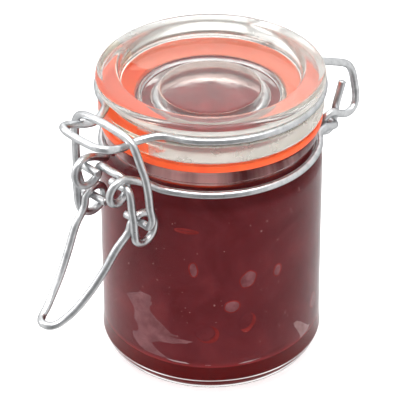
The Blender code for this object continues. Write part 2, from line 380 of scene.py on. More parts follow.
def new_material(name):
    """A node material and its Principled shader."""
    material = bpy.data.materials.new(name)
    material.use_nodes = True
    return material, material.node_tree.nodes["Principled BSDF"]


def node(owner, kind, **settings):
    """A new node of a material or the world, with some of its inputs set by name."""
    made = owner.node_tree.nodes.new(kind)
    for key, value in settings.items():
        made.inputs[key.replace("_", " ")].default_value = value
    return made


def link(owner, source, output, target, entry):
    """Joins one node's output to another's input."""
    owner.node_tree.links.new(source.outputs[output], target.inputs[entry])


def ramp(owner, source, output, stops):
    """A colour ramp over a value, with stops of (position, colour)."""
    made = node(owner, "ShaderNodeValToRGB")
    elements = made.color_ramp.elements
    while len(elements) < len(stops):
        elements.new(0.5)
    for element, (position, colour) in zip(elements, stops):
        element.position = position
        element.color = (*colour, 1.0)
    link(owner, source, output, made, "Fac")
    return made


def share(owner, source, output, start, end):
    """How far a value has gone from start, where this is 0, to end, where it is 1."""
    made = node(owner, "ShaderNodeMapRange", From_Min=start, From_Max=end)
    link(owner, source, output, made, "Value")
    return made


def mix_colours(owner, amount, base, base_output):
    """A colour Mix node from a base towards its second colour by an amount."""
    made = node(owner, "ShaderNodeMix")
    made.data_type = "RGBA"
    link(owner, amount, 0, made, "Factor")
    link(owner, base, base_output, made, MIX_COLOUR_A)
    return made


def noise_node(material, scale, detail=4.0, roughness=0.5, distortion=0.0):
    """A noise texture in object coordinates, in metres."""
    place = node(material, "ShaderNodeTexCoord")
    made = node(material, "ShaderNodeTexNoise", Scale=scale, Detail=detail, Roughness=roughness)
    made.inputs["Distortion"].default_value = distortion
    link(material, place, "Object", made, "Vector")
    return made


def bump(material, source, output, strength, distance):
    """Relief from a value, linked to the Principled shader."""
    made = node(material, "ShaderNodeBump", Strength=strength, Distance=distance)
    link(material, source, output, made, "Height")
    link(material, made, "Normal", material.node_tree.nodes["Principled BSDF"], "Normal")


def drive(material, source, entry, stops):
    """Sets an input of the Principled shader by a colour ramp over a noise texture."""
    made = ramp(material, source, "Fac", stops)
    link(material, made, "Color", material.node_tree.nodes["Principled BSDF"], entry)


def grey(*stops):
    """Stops of a ramp from (position, brightness) pairs."""
    return [(position, (level, level, level)) for position, level in stops]


def glow_through(shader, amount, radius):
    """Lets light spread a little way inside, by radius for red, green and blue."""
    shader.inputs["Subsurface Weight"].default_value = amount
    shader.inputs["Subsurface Radius"].default_value = radius
    shader.inputs["Subsurface Scale"].default_value = 1.0


# ---- Materials ---------------------------------------------------------------
JAM_PAINTED_GLOW_HEIGHT = 0.0095       # a painted glow, for light through the base, reaches this far up
REFLECTION_BAND_BOTTOM = 0.0594           # a pale painted reflection on the jam by the glass, from here to its top
REFLECTION_STREAK_LENGTH = 0.25      # the streaks' width for their length
# The painted reflection's colours: orange-red at its foot and pale pink above.
REFLECTION_BAND_COLOURS = ((0.36, (0.85, 0.11, 0.05)), (0.46, (0.90, 0.64, 0.63)))
# The colour of the painted glow near the floor.
JAM_PAINTED_GLOW_COLOUR = (0.30, 0.040, 0.042, 1.0)
GLASS_IOR = 1.46
GLASS_CLEAR = (0.985, 0.99, 0.985)
GLASS_GREENISH = (0.955, 0.965, 0.955)
GLASS_WAVE_HEIGHT = 0.0004
SHEEN = 0.5                    # how much the lid mirrors, for the share that bare glass has
WET_SHEEN = 0.15
# Each glass: name, its deeper and paler colour, the range of its roughness, how close its waves lie
# and how strong they are, how clear it is, and its sheen.
# The jar's glass mirrors almost nothing head-on; its faint grey reflection is painted into the
# jam's colour.
JAR_GLASS = ("jar_glass", GLASS_GREENISH, GLASS_CLEAR, (0.0, 0.0), 160.0, 0.06, 1.0, 0.0)
# Each part of the lid gets its own tint: the side's grey-beige and the underside's darker
# pinkish-brown are painted shade on what shows through them.
LID_GLASSES = (
    ("lid_glass", GLASS_GREENISH, GLASS_CLEAR, (0.0, 0.03), 160.0, 0.10, 1.0, SHEEN),
    ("lid_underside_painted_shade", (0.56, 0.43, 0.40), (0.68, 0.56, 0.52), (0.1, 0.2), 300.0, 0.14, 1.0, SHEEN),
    ("lid_side_painted_shade", (0.60, 0.57, 0.52), (0.70, 0.67, 0.62), (0.20, 0.30), 160.0, 0.15, 0.70, SHEEN),
    ("lid_crest", (0.96, 0.965, 0.95), (0.99, 0.985, 0.96), (0.08, 0.15), 160.0, 0.15, 0.93, SHEEN),
    ("lid_shoulder", (0.88, 0.87, 0.82), (0.95, 0.94, 0.9), (0.18, 0.28), 160.0, 0.15, 0.64, SHEEN),
    ("lid_seat", (1.0, 0.96, 0.76), (1.0, 0.98, 0.82), (0.1, 0.2), 300.0, 0.10, 0.84, SHEEN),
    ("lid_wet", (1.0, 0.90, 0.66), (1.0, 0.94, 0.72), (0.0, 0.04), 160.0, 0.05, 1.0, WET_SHEEN),
)


def make_glass(name, deep, pale, roughness, wave_scale, waves, clarity, sheen):
    """Soda glass with the faint waves of pressed ware, milky where its clarity is below 1."""
    material, shader = new_material(name)
    shader.inputs["Transmission Weight"].default_value = clarity
    shader.inputs["IOR"].default_value = GLASS_IOR
    shader.inputs["Specular Tint"].default_value = (sheen, sheen, sheen, 1.0)
    soft = noise_node(material, 90.0, 2.0)
    drive(material, soft, "Base Color", [(0.3, deep), (0.7, pale)])
    patchy = noise_node(material, 260.0, 3.0)
    drive(material, patchy, "Roughness", grey((0.3, roughness[0]), (0.7, roughness[1])))
    relief = noise_node(material, wave_scale, 2.0, 0.5, 0.4)
    bump(material, relief, "Fac", waves, GLASS_WAVE_HEIGHT)
    return material


def make_lid_glasses():
    """The lid's glasses, in the order of CLEAR, UNDERSIDE, SIDE, CREST, SHOULDER, SEAT and WET."""
    return tuple(make_glass(*settings) for settings in LID_GLASSES)


def make_painted_reflection_mask(material, parts):
    """The painted reflection under the rim, a band with upright streaks of painted highlight: how
    much of it, and how high in it.
    """
    place = node(material, "ShaderNodeTexCoord")
    stretch = node(material, "ShaderNodeVectorMath")
    stretch.operation = "MULTIPLY"
    stretch.inputs[1].default_value = (1.0, 1.0, REFLECTION_STREAK_LENGTH)
    link(material, place, "Object", stretch, "Vector")
    streaks = node(material, "ShaderNodeTexNoise", Scale=130.0, Detail=5.0)
    link(material, stretch, "Vector", streaks, "Vector")
    amount = ramp(material, streaks, "Fac", grey((0.38, 0.06), (0.66, 1.0)))
    up = share(material, parts, "Z", REFLECTION_BAND_BOTTOM, JAM_HEIGHT)
    band_stops = grey((0.18, 0.0), (0.30, 1.0), (0.84, 1.0), (0.94, 0.2))
    band = ramp(material, up, "Result", band_stops)
    both = node(material, "ShaderNodeMath")
    both.operation = "MULTIPLY"
    link(material, amount, "Color", both, 0)
    link(material, band, "Color", both, 1)
    return both, up


def make_jam_material():
    """Dark red jam, paler and cloudier in places, painted glow near the floor, painted reflection
    on top.
    """
    material, shader = new_material("red_jam")
    cloud = noise_node(material, 70.0, 7.0, 0.66, 0.6)
    # The jam's own dark red, paler in places, with the glass's faint grey reflection painted in.
    clouds = [
        (0.30, (0.130, 0.021, 0.025)),
        (0.52, (0.175, 0.032, 0.038)),
        (0.75, (0.240, 0.045, 0.050)),
    ]
    colour = ramp(material, cloud, "Fac", clouds)
    place = node(material, "ShaderNodeTexCoord")
    parts = node(material, "ShaderNodeSeparateXYZ")
    link(material, place, "Object", parts, "Vector")
    # Painted glow: the colour grows brighter towards the floor, for light that comes in through the
    # base.
    down = share(material, parts, "Z", JAM_PAINTED_GLOW_HEIGHT, BASE_THICKNESS)
    painted_glow = mix_colours(material, down, colour, "Color")
    painted_glow.inputs[MIX_COLOUR_B].default_value = JAM_PAINTED_GLOW_COLOUR
    # The painted reflection band with its streaks of painted highlight, laid over the jam's colour
    # at its top.
    reflection_band, reflection_height = make_painted_reflection_mask(material, parts)
    top = mix_colours(material, reflection_band, painted_glow, MIX_COLOUR_RESULT)
    reflection_colour = ramp(material, reflection_height, "Result", REFLECTION_BAND_COLOURS)
    link(material, reflection_colour, "Color", top, MIX_COLOUR_B)
    link(material, top, MIX_COLOUR_RESULT, shader, "Base Color")
    shader.inputs["Roughness"].default_value = 0.35
    shader.inputs["Specular IOR Level"].default_value = 0.0
    glow_through(shader, 0.4, (0.005, 0.0006, 0.0005))
    return material


def make_jam_top_material():
    """The wet, glossy top of the jam."""
    material, shader = new_material("jam_top")
    cloud = noise_node(material, 180.0, 3.0, 0.55, 0.6)
    clouds = [(0.35, (0.28, 0.007, 0.009)), (0.7, (0.52, 0.034, 0.038))]
    drive(material, cloud, "Base Color", clouds)
    shader.inputs["Roughness"].default_value = 0.2
    shader.inputs["IOR"].default_value = 1.42
    glow_through(shader, 0.3, (0.003, 0.0006, 0.0005))
    bump(material, cloud, "Fac", 0.35, 0.0008)
    return material


def make_fruit_material(name, dark, light):
    """Softened fruit in the jam, uneven in colour and a little translucent."""
    material, shader = new_material(name)
    cloud = noise_node(material, 230.0, 5.0, 0.62)
    drive(material, cloud, "Base Color", [(0.35, dark), (0.66, light)])
    shader.inputs["Roughness"].default_value = 0.3
    shader.inputs["Specular IOR Level"].default_value = 0.1
    glow_through(shader, 0.3, (0.002, 0.0007, 0.0006))
    relief = noise_node(material, 700.0, 3.0)
    bump(material, relief, "Fac", 0.4, 0.0003)
    return material


def make_rubber():
    """Orange rubber, softly glossy, with a little dust and unevenness."""
    material, shader = new_material("orange_rubber")
    cloud = noise_node(material, 300.0, 3.0)
    clouds = [(0.3, (0.97, 0.088, 0.009)), (0.7, (1.0, 0.122, 0.015))]
    drive(material, cloud, "Base Color", clouds)
    rough = noise_node(material, 900.0, 3.0)
    drive(material, rough, "Roughness", grey((0.3, 0.34), (0.7, 0.50)))
    glow_through(shader, 0.15, (0.0015, 0.0005, 0.0003))
    bump(material, rough, "Fac", 0.15, 0.0001)
    return material


def make_zinc():
    """Bright zinc-coated steel wire, drawn and bent, so slightly uneven."""
    material, shader = new_material("zinc_wire")
    shader.inputs["Metallic"].default_value = 1.0
    cloud = noise_node(material, 500.0, 4.0, 0.6)
    clouds = [(0.25, (0.56, 0.57, 0.58)), (0.5, (0.74, 0.75, 0.76)), (0.75, (0.88, 0.89, 0.90))]
    drive(material, cloud, "Base Color", clouds)
    grain = noise_node(material, 1500.0, 4.0, 0.65)
    drive(material, grain, "Roughness", grey((0.25, 0.26), (0.75, 0.36)))
    shader.inputs["Specular Tint"].default_value = (0.42, 0.43, 0.44, 1.0)
    bump(material, grain, "Fac", 0.12, 0.0002)
    return material


def make_floor_material():
    """A plain white sweep."""
    material, shader = new_material("white_sweep")
    cloud = noise_node(material, 3.0, 2.0)
    drive(material, cloud, "Base Color", grey((0.0, 0.90), (1.0, 0.93)))
    shader.inputs["Roughness"].default_value = 0.6
    shader.inputs["Emission Color"].default_value = (1.0, 1.0, 1.0, 1.0)
    shader.inputs["Emission Strength"].default_value = FLOOR_GLOW
    material.cycles.emission_sampling = "NONE"
    return material


# ---- Glass, jam and rubber ---------------------------------------------------
def cavity(inset):
    """The inside of the jar from the middle of its floor up to the mouth, drawn in by inset."""
    radius = BODY_RADIUS - WALL - inset
    floor = BASE_THICKNESS + inset
    heel = INNER_HEEL_RADIUS - inset
    profile = [(0.0, floor)]
    profile += straight((FIRST_RING, floor), (radius - heel, floor), 4)
    profile += arc(radius - heel, floor + heel, heel, -90, 0, 12)
    shoulder = INNER_SHOULDER_HEIGHT - inset
    profile += straight((radius, floor + heel + RUN_ON), (radius, shoulder), 24)
    rise = RIM_HEIGHT - MOUTH_DEPTH - INNER_SHOULDER_HEIGHT
    run = radius - (MOUTH_RADIUS - inset)
    for i in range(SHOULDER_STEPS + 1):
        part = i / SHOULDER_STEPS
        ease = part * part * (3.0 - 2.0 * part)
        profile.append((radius - run * ease, shoulder + rise * part))
    return profile


def make_jar(material):
    """The glass jar: cavity, rim, neck groove, shoulder, wall, heel and flat base."""
    profile = cavity(0.0)
    profile += arc(MOUTH_RADIUS + RIM_ROUNDING, RIM_HEIGHT - RIM_ROUNDING, RIM_ROUNDING, 180, 90, 6)
    profile += arc(RIM_RADIUS - RIM_ROUNDING, RIM_HEIGHT - RIM_ROUNDING, RIM_ROUNDING, 90, 0, 6)
    profile += straight((RIM_RADIUS, NECK_TOP + RIM_UNDERSIDE), (NECK_RADIUS, NECK_TOP), 3)
    profile.append((NECK_RADIUS, NECK_TOP - RIM_CORNER))
    shoulder_centre = BODY_RADIUS - SHOULDER_RADIUS
    shoulder_rise = sqrt(SHOULDER_RADIUS ** 2 - (NECK_RADIUS - shoulder_centre) ** 2)
    end_angle = degrees(asin(shoulder_rise / SHOULDER_RADIUS))
    profile += arc(shoulder_centre, SHOULDER_HEIGHT, SHOULDER_RADIUS, end_angle, 0, 12)
    wall_top = (BODY_RADIUS, SHOULDER_HEIGHT - RUN_ON)
    wall_foot = (BODY_RADIUS, HEEL_RADIUS + RUN_ON)
    profile += straight(wall_top, wall_foot, 24)
    heel = arc(BODY_RADIUS - HEEL_RADIUS, HEEL_RADIUS, HEEL_RADIUS, 0, -90, 72)
    for radius, height in heel:
        away = min(1.0, abs(height - SEAM_HEIGHT) / SEAM_WIDTH)
        profile.append((radius + SEAM_RISE * (0.5 + 0.5 * cos(pi * away)), height))
    profile.append((0.0, 0.0))
    obj = turned("jar_glass", profile, material, wave=JAR_WAVE)
    obj.visible_shadow = False
    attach(obj, "jar_body")
    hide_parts("jar")


def make_jam(material, top_material):
    """The jam, which wets the glass wall and floor and lies a little uneven on top."""
    inside = [point for point in cavity(-WETTING) if point[1] < JAM_HEIGHT - JAM_EDGE]
    rim = inside[-1][0]
    rings = 12
    profile = [(0.0, JAM_HEIGHT)]
    profile += [(rim * i / rings, JAM_HEIGHT) for i in range(1, rings)]
    profile += [(rim - JAM_EDGE, JAM_HEIGHT), (rim, JAM_HEIGHT - JAM_TOP_DIP)]
    profile += reversed(inside)
    obj = turned("jam_fill", profile, material)
    obj.data.materials.append(top_material)
    for polygon in obj.data.polygons:
        if polygon.center.z > JAM_HEIGHT - 2.0 * JAM_TOP_DIP:
            polygon.material_index = 1
    for vertex in obj.data.vertices:
        if vertex.co.z > JAM_HEIGHT - HAIR:
            swell = noise.noise(vertex.co / JAM_TOP_SWELL_LENGTH) + 0.5
            vertex.co.z -= JAM_TOP_DIP + JAM_TOP_SWELL * swell
    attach(obj, "jar_body")
    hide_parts("jam")


def make_ring(material):
    """The flat rubber ring between rim and lid, with soft edges."""
    r = RING_ROUNDING
    profile = straight((RING_INNER_RADIUS + RUN_ON, RING_TOP), (RING_RADIUS - r, RING_TOP), 10)
    profile += arc(RING_RADIUS - r, RING_TOP - r, r, 90, 0, 4)
    profile += arc(RING_RADIUS - r, RING_BOTTOM + r, r, 0, -90, 4)
    profile += arc(RING_INNER_RADIUS + r, RING_BOTTOM + r, r, -90, -180, 4)
    profile += arc(RING_INNER_RADIUS + r, RING_TOP - r, r, 180, 90, 4)
    obj = turned("rubber_seal", profile, material, closed=True)
    for vertex in obj.data.vertices:
        angle = degrees(atan2(vertex.co.x, -vertex.co.y))
        edge = CONTACT_SPREAD * noise.noise(vertex.co * CONTACT_PATCHES)
        pressed = CONTACT_START < angle + edge < CONTACT_END
        on_top = vertex.co.z > RING_TOP - 0.5 * HAIR
        if pressed and on_top and vertex.co.xy.length < CONTACT_RADIUS:
            vertex.co.z += GAP + CONTACT_BITE
    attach(obj, "jar_body")
    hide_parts("rubber_ring")


# The numbers of the lid's glasses on its mesh.
CLEAR, UNDERSIDE, SIDE, CREST, SHOULDER, SEAT, WET = range(7)
SIDE_DEPTH = 0.0006            # the side's glass reaches this far in past the groove
SHOULDER_DROP = 0.0012         # and up to this far under the lid's top
CREST_RISE = 0.0003            # the rim's glass begins this far above the sunk middle


def lid_part(middle):
    """The number of the lid's glass at a place on its surface."""
    radius = middle.xy.length
    height = middle.z
    angle = degrees(atan2(middle.x, -middle.y))
    in_contact = CONTACT_START < angle < CONTACT_END
    in_wet_groove = CONTACT_START < angle < WET_GROOVE_END
    in_recess = radius < RECESS_RADIUS and height < RECESS_TOP + HAIR
    if height < LID_SEAT - HAIR or in_recess:
        return UNDERSIDE
    if height < LID_SEAT + HAIR:
        return WET if in_contact else SEAT
    if radius > LID_GROOVE_RADIUS - SIDE_DEPTH and height < LID_TOP - SHOULDER_DROP:
        if in_contact and height < LID_WIRE_HEIGHT - WIRE_RADIUS:
            return WET
        if in_wet_groove and height < LID_WIRE_HEIGHT + LID_GROOVE_FLANK:
            return WET
        return SHOULDER if height > LID_WIRE_HEIGHT else SIDE
    if height > LID_FLOOR + CREST_RISE:
        return CREST
    return CLEAR


def lid_groove():
    """The lid's wire groove and side, from its upper edge down, in the profile plane."""
    top = LID_WIRE_HEIGHT + LID_GROOVE_FLANK
    foot = LID_WIRE_HEIGHT - LID_GROOVE_FLANK
    profile = []
    for i in range(LID_GROOVE_STEPS + 1):
        part = i / LID_GROOVE_STEPS
        outer = LID_RADIUS + (LID_LOWER_RADIUS - LID_RADIUS) * part
        dip = min(1.0, LID_GROOVE_FULLNESS - LID_GROOVE_FULLNESS * cos(tau * part))
        profile.append((outer - (outer - LID_GROOVE_RADIUS) * dip, top + (foot - top) * part))
    return profile


def make_lid(materials):
    """The glass lid: sunk middle, raised rim, wire groove, seat, plug and hollow underside."""
    rim_inner = LID_RADIUS - LID_RIM_WIDTH
    profile = [(0.0, LID_FLOOR)]
    floor_edge = rim_inner - LID_FILLET - LID_FLOOR_RUN_ON
    profile += straight((FIRST_RING, LID_FLOOR), (floor_edge, LID_FLOOR), 5)
    profile += arc(rim_inner - LID_FILLET, LID_FLOOR + LID_FILLET, LID_FILLET, -90, 0, 10)
    profile += arc(rim_inner + LID_RIM_EDGE, LID_TOP - LID_RIM_EDGE, LID_RIM_EDGE, 180, 90, 8)
    profile += arc(LID_RADIUS - LID_ROUNDING, LID_TOP - LID_ROUNDING, LID_ROUNDING, 90, 0, 10)
    profile += lid_groove()
    side_top = LID_WIRE_HEIGHT - LID_GROOVE_FLANK - LID_SIDE_RUN_ON
    side_foot = LID_SEAT + LID_SEAT_EDGE
    profile += straight((LID_LOWER_RADIUS, side_top), (LID_LOWER_RADIUS, side_foot), 5)
    profile += arc(LID_LOWER_RADIUS - LID_SEAT_EDGE, side_foot, LID_SEAT_EDGE, 0, -90, 8)
    c = PLUG_CHAMFER
    seat_outer = LID_LOWER_RADIUS - LID_SEAT_EDGE - LID_SEAT_RUN_ON
    profile += straight((seat_outer, LID_SEAT), (PLUG_RADIUS + c, LID_SEAT), 4)
    profile += arc(PLUG_RADIUS + c, LID_SEAT - c, c, 90, 180, 5)
    profile += arc(PLUG_RADIUS - c, PLUG_BOTTOM + c, c, 0, -90, 6)
    profile += arc(RECESS_RADIUS + c, PLUG_BOTTOM + c, c, 270, 180, 6)
    profile += arc(RECESS_TOP_RADIUS - c, RECESS_TOP - c, c, 0, 90, 6)
    profile += straight((RECESS_TOP_RADIUS - RUN_ON, RECESS_TOP), (0.0, RECESS_TOP), 5)
    profile.append((0.0, RECESS_TOP))
    obj = turned("lid_glass", profile, materials[0], wave=LID_WAVE)
    for material in materials[1:]:
        obj.data.materials.append(material)
    for polygon in obj.data.polygons:
        polygon.material_index = lid_part(polygon.center)
    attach(obj, "jar_body")
    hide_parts("lid")


# ---- What lies in the jam against the glass ----------------------------------
FRUIT_STANDS_OUT = 0.00006     # how far a piece of fruit shows past the jam's skin
SKIN_STANDS_OUT = 0.00002      # how far the redder skin round a piece does
SKIN_WIDTH = 0.0010            # how much wider and longer the skin is than the piece
FRUIT_THICKNESS = 0.0012
FRUIT_RINGS = 10
FRUIT_SIDES = 28
FLAKE_COLUMNS = 16
FLAKE_EDGE = 0.3               # how deep a flake's edges sink, for its thickness
FLAKE_PATCHES = (0.35, 900.0)  # patches a degree and a metre along its edges
FLAKE_RAGGED = 2.0             # how far its edges wander, in degrees
SLIVER_RAGGED = 1.0
SPECKS = 260
SPECK_SEED = 11
SPECK_HEIGHTS = (0.012, 0.055)
SPECK_SIZES = (0.00020, 0.00048)
SPECK_STRETCH = (0.8, 1.5)
SPECK_SMALL_SHARE = 0.8
SPECK_LARGE = 1.7              # the others' size, for the small ones' size
SPECK_RINGS = 3
SPECK_SIDES = 8
SPECK_FLAT = 0.15              # how wide a speck's flat top is, in radians

# Each oval piece: angle round the jar, height, width, length, tilt in degrees, and raggedness.
FRUIT = (
    (36, 0.0382, 0.0019, 0.0044, -4, 0.12),
    (66, 0.0345, 0.0040, 0.0054, 24, 0.16),
    (84, 0.0346, 0.0020, 0.0034, 10, 0.14),
    (118, 0.0166, 0.0034, 0.0048, 0, 0.22),
    (57, 0.0268, 0.0038, 0.0036, 0, 0.20),
    (151, 0.0260, 0.0036, 0.0050, 12, 0.18),
    (205, 0.0380, 0.0030, 0.0042, -20, 0.16),
    (262, 0.0210, 0.0044, 0.0040, 30, 0.18),
    (300, 0.0330, 0.0026, 0.0046, 8, 0.14),
)

# Pieces of skin with jam over most of them, so that only a red edge shows: the first six values are
# as above, then how far the jam over it lies to the side and up, and how much smaller it is.
SKINS = (
    (32, 0.0496, 0.0072, 0.0020, 2, 0.10, 0.0000, 0.0001, 0.0018),
    (66, 0.0212, 0.0046, 0.0068, 22, 0.14, -0.0005, 0.0005, 0.0012),
    (44, 0.0186, 0.0066, 0.0064, 30, 0.16, -0.0008, 0.0003, 0.0010),
    (175, 0.0310, 0.0060, 0.0050, -15, 0.16, 0.0005, 0.0004, 0.0012),
    (232, 0.0150, 0.0050, 0.0060, 12, 0.16, -0.0005, 0.0004, 0.0012),
    (285, 0.0460, 0.0064, 0.0030, 5, 0.12, 0.0000, 0.0002, 0.0013),
)

# The large pale piece low on the left: height, and the angles of its left and right edges.
LARGE_PIECE = (
    (0.0287, 5, 8), (0.0280, 2.5, 11), (0.0270, 1, 12), (0.0260, -3, 13), (0.0250, -8, 13),
    (0.0240, -9, 12.8), (0.0230, -7, 12.6), (0.0220, -4, 13), (0.0210, -3, 16), (0.0200, -3, 19),
    (0.0190, -4, 22), (0.0180, -4, 25), (0.0170, -3.5, 31), (0.0160, -3, 40), (0.0152, -2.5, 37),
    (0.0144, -3, 28), (0.0137, -4, 17), (0.0129, -5, 13), (0.0120, -4, 14), (0.0110, -2, 17),
    (0.0102, 0, 20), (0.0094, 2.5, 24), (0.0086, 6, 25), (0.0080, 10, 20),
)
# The paler piece low on the right.
CORNER_PIECE = (
    (0.0163, 94, 96), (0.0150, 96, 101), (0.0138, 97, 105), (0.0125, 98.5, 108), (0.0112, 100, 111),
    (0.0100, 101, 115), (0.0090, 102, 114), (0.0082, 103, 108), (0.0078, 103, 105),
)
# Thin pale slivers along the jam's bottom edge: painted highlights.
PAINTED_HIGHLIGHT_SLIVERS = (
    ((0.0090, 70, 77), (0.0087, 63, 76), (0.0083, 59, 70), (0.0080, 58.5, 62)),
    ((0.0088, 42, 45), (0.0085, 41.5, 45.5), (0.0082, 42.5, 44.5)),
    ((0.0094, 20, 26), (0.0090, 18, 33), (0.0086, 22, 35), (0.0083, 28, 33)),
    ((0.0090, 110, 113), (0.0086, 106, 114), (0.0083, 104, 109)),
)


def skin_radius(height):
    """The radius of the jam's side at a height, which turns in over the floor."""
    radius = BODY_RADIUS - WALL + WETTING
    heel_top = BASE_THICKNESS + INNER_HEEL_RADIUS
    if height >= heel_top:
        return radius
    drop = min(heel_top - height, INNER_HEEL_RADIUS)
    return radius - INNER_HEEL_RADIUS + sqrt(INNER_HEEL_RADIUS ** 2 - drop ** 2)


def on_wall(angle, height, depth):
    """A point at an angle round the jar from the clasp, a height, and a depth in from the wall."""
    radius = skin_radius(height) - depth
    return Vector((radius * sin(radians(angle)), -radius * cos(radians(angle)), height))


def as_angle(length):
    """The degrees round the jar that a short length along its wall takes up."""
    return degrees(length / (BODY_RADIUS - WALL))


def lie_in_jam(name, verts, faces, material):
    """A mesh of what lies in the jam, which rides on the jar."""
    obj = finished_mesh(name, verts, faces, material)
    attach(obj, "jar_body")


def close_dome(faces, start, rings, sides):
    """Adds the faces of a closed dome whose vertices begin at start, in rings + 1 rings."""
    for ring in range(rings):
        for side in range(sides):
            a = start + ring * sides + side
            b = start + ring * sides + (side + 1) % sides
            faces.append((a, b, b + sides, a + sides))
    faces.append(tuple(start + rings * sides + side for side in range(sides)))
    faces.append(tuple(start + side for side in reversed(range(sides))))


def oval(verts, faces, place, size, tilt, ragged, stands_out, seed):
    """Adds one softened oval piece that lies against the glass."""
    start = len(verts)
    for ring in range(FRUIT_RINGS + 1):
        fall = pi * 0.5 * ring / FRUIT_RINGS
        for side in range(FRUIT_SIDES):
            way = tau * side / FRUIT_SIDES
            edge = 1.0 + ragged * noise.noise(seed + Vector((cos(way), sin(way), 0.0)))
            u = 0.5 * size[0] * sin(fall) * cos(way) * edge
            v = 0.5 * size[1] * sin(fall) * sin(way) * edge
            du = u * cos(radians(tilt)) + v * sin(radians(tilt))
            dv = -u * sin(radians(tilt)) + v * cos(radians(tilt))
            depth = FRUIT_THICKNESS * (1.0 - cos(fall)) ** 6 - stands_out
            verts.append(on_wall(place[0] + as_angle(du), place[1] + dv, depth))
    close_dome(faces, start, FRUIT_RINGS, FRUIT_SIDES)


def make_ovals(name, pieces, material, stands_out):
    """Oval pieces as one mesh: each is a place, a size, a tilt and its raggedness."""
    verts = []
    faces = []
    for number, (angle, height, width, length, tilt, ragged) in enumerate(pieces):
        seed = Vector((number * 3.7, number * 1.3, 0.0))
        oval(verts, faces, (angle, height), (width, length), tilt, ragged, stands_out, seed)
    lie_in_jam(name, verts, faces, material)


def flake_side(number, rows, ragged, back):
    """One side of a flake, whose front sinks in towards its edges. The back is flat."""
    verts = []
    for index, (height, left, right) in enumerate(rows):
        near_end = abs(2.0 * index / (len(rows) - 1) - 1.0)
        for column in range(FLAKE_COLUMNS + 1):
            across = column / FLAKE_COLUMNS
            near_side = abs(2.0 * across - 1.0)
            angle = left + (right - left) * across
            seed = (angle * FLAKE_PATCHES[0], height * FLAKE_PATCHES[1], number * 5.0)
            angle += ragged * near_side * noise.noise(Vector(seed))
            sink = max(near_side ** 8, near_end ** 14)
            depth = FRUIT_THICKNESS if back else sink * FLAKE_EDGE * FRUIT_THICKNESS
            verts.append(on_wall(angle, height, depth - FRUIT_STANDS_OUT))
    return verts


def make_flakes(name, flakes, material, ragged):
    """Irregular flat pieces against the glass as one mesh, from rows of height, left and right."""
    verts = []
    faces = []
    columns = FLAKE_COLUMNS
    for number, rows in enumerate(flakes):
        start = len(verts)
        per_side = len(rows) * (columns + 1)
        verts += flake_side(number, rows, ragged, False)
        verts += flake_side(number, rows, ragged, True)
        for index in range(len(rows) - 1):
            for column in range(columns):
                a = start + index * (columns + 1) + column
                b = a + columns + 1
                faces.append((a, b, b + 1, a + 1))
                faces.append((a + per_side + 1, b + per_side + 1, b + per_side, a + per_side))
        outline = [start + column for column in range(columns + 1)]
        outline += [start + index * (columns + 1) + columns for index in range(1, len(rows))]
        outline += [start + per_side - 1 - column for column in range(1, columns + 1)]
        outline += [start + index * (columns + 1) for index in range(len(rows) - 2, 0, -1)]
        for a, b in zip(outline, outline[1:] + outline[:1]):
            faces.append((a, b, b + per_side, a + per_side))
    lie_in_jam(name, verts, faces, material)


def make_specks(material):
    """Tiny bubbles and crumbs of fruit against the glass, all round the jar, as one mesh."""
    random = Random(SPECK_SEED)
    verts = []
    faces = []
    for number in range(SPECKS):
        angle = random.uniform(0.0, 360.0)
        height = random.uniform(*SPECK_HEIGHTS)
        size = random.uniform(*SPECK_SIZES)
        size *= 1.0 if random.random() < SPECK_SMALL_SHARE else SPECK_LARGE
        stretch = random.uniform(*SPECK_STRETCH)
        start = len(verts)
        for ring in range(SPECK_RINGS + 1):
            fall = pi * 0.5 * ring / SPECK_RINGS
            for side in range(SPECK_SIDES):
                way = tau * side / SPECK_SIDES
                du = 0.5 * size * sin(fall + SPECK_FLAT) * cos(way)
                dv = 0.5 * size * stretch * sin(fall + SPECK_FLAT) * sin(way)
                depth = 0.5 * size * (1.0 - cos(fall)) - FRUIT_STANDS_OUT
                verts.append(on_wall(angle + as_angle(du), height + dv, depth))
        close_dome(faces, start, SPECK_RINGS, SPECK_SIDES)
    lie_in_jam("specks", verts, faces, material)


def make_fruit(pulp, skin, jam):
    """The oval pieces, the redder skin round them, and skins with jam over them."""
    make_ovals("fruit_pieces", FRUIT, pulp, FRUIT_STANDS_OUT)
    skins = []
    for angle, height, width, length, tilt, ragged in FRUIT:
        skins.append((angle, height, width + SKIN_WIDTH, length + SKIN_WIDTH, tilt, ragged))
    covers = []
    for angle, height, width, length, tilt, ragged, aside, above, smaller in SKINS:
        skins.append((angle, height, width, length, tilt, ragged))
        place = (angle + as_angle(aside), height + above)
        covers.append((*place, width - smaller, length - smaller, tilt, ragged))
    make_ovals("fruit_skins", skins, skin, SKIN_STANDS_OUT)
    make_ovals("jam_over_skins", covers, jam, FRUIT_STANDS_OUT)


# ---- Wires -------------------------------------------------------------------
def make_neck_wire(material):
    """Round the neck, with two eyes at the front and an axle at the back."""
    axle_out, axle_up = HINGE_AXIS
    half = spots((0.0344, 0.0, 0.0660), (0.0343, 0.0030, 0.0660))
    half += turn(EYE_CENTRE, (EYE_RADIUS, EYE_RADIUS), 170, 465, 0.0049, 0.0070)
    half += spots(
        (0.0330, 0.0078, 0.0661),
        (0.0298, 0.0088, 0.0641),
        (0.0272, 0.0101, 0.0622),
    )
    half += round_jar(NECK_WIRE_RADIUS, NECK_WIRE_HEIGHT, 26, 138, 14)
    half += spots(
        (-0.0243, 0.0172, 0.0609),
        (-0.0278, 0.0166, 0.0598),
        (axle_out + 0.0001, 0.0153, axle_up + 0.0001),
        (axle_out, 0.0138, axle_up),
        (axle_out, 0.0080, axle_up),
        (axle_out, 0.0, axle_up),
    )
    points = smooth(half + mirrored(half)[1:-1], closed=True)
    obj = wire("neck_wire_round", points, material, "jar_body", closed=True)
    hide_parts("neck_wire")
    return obj


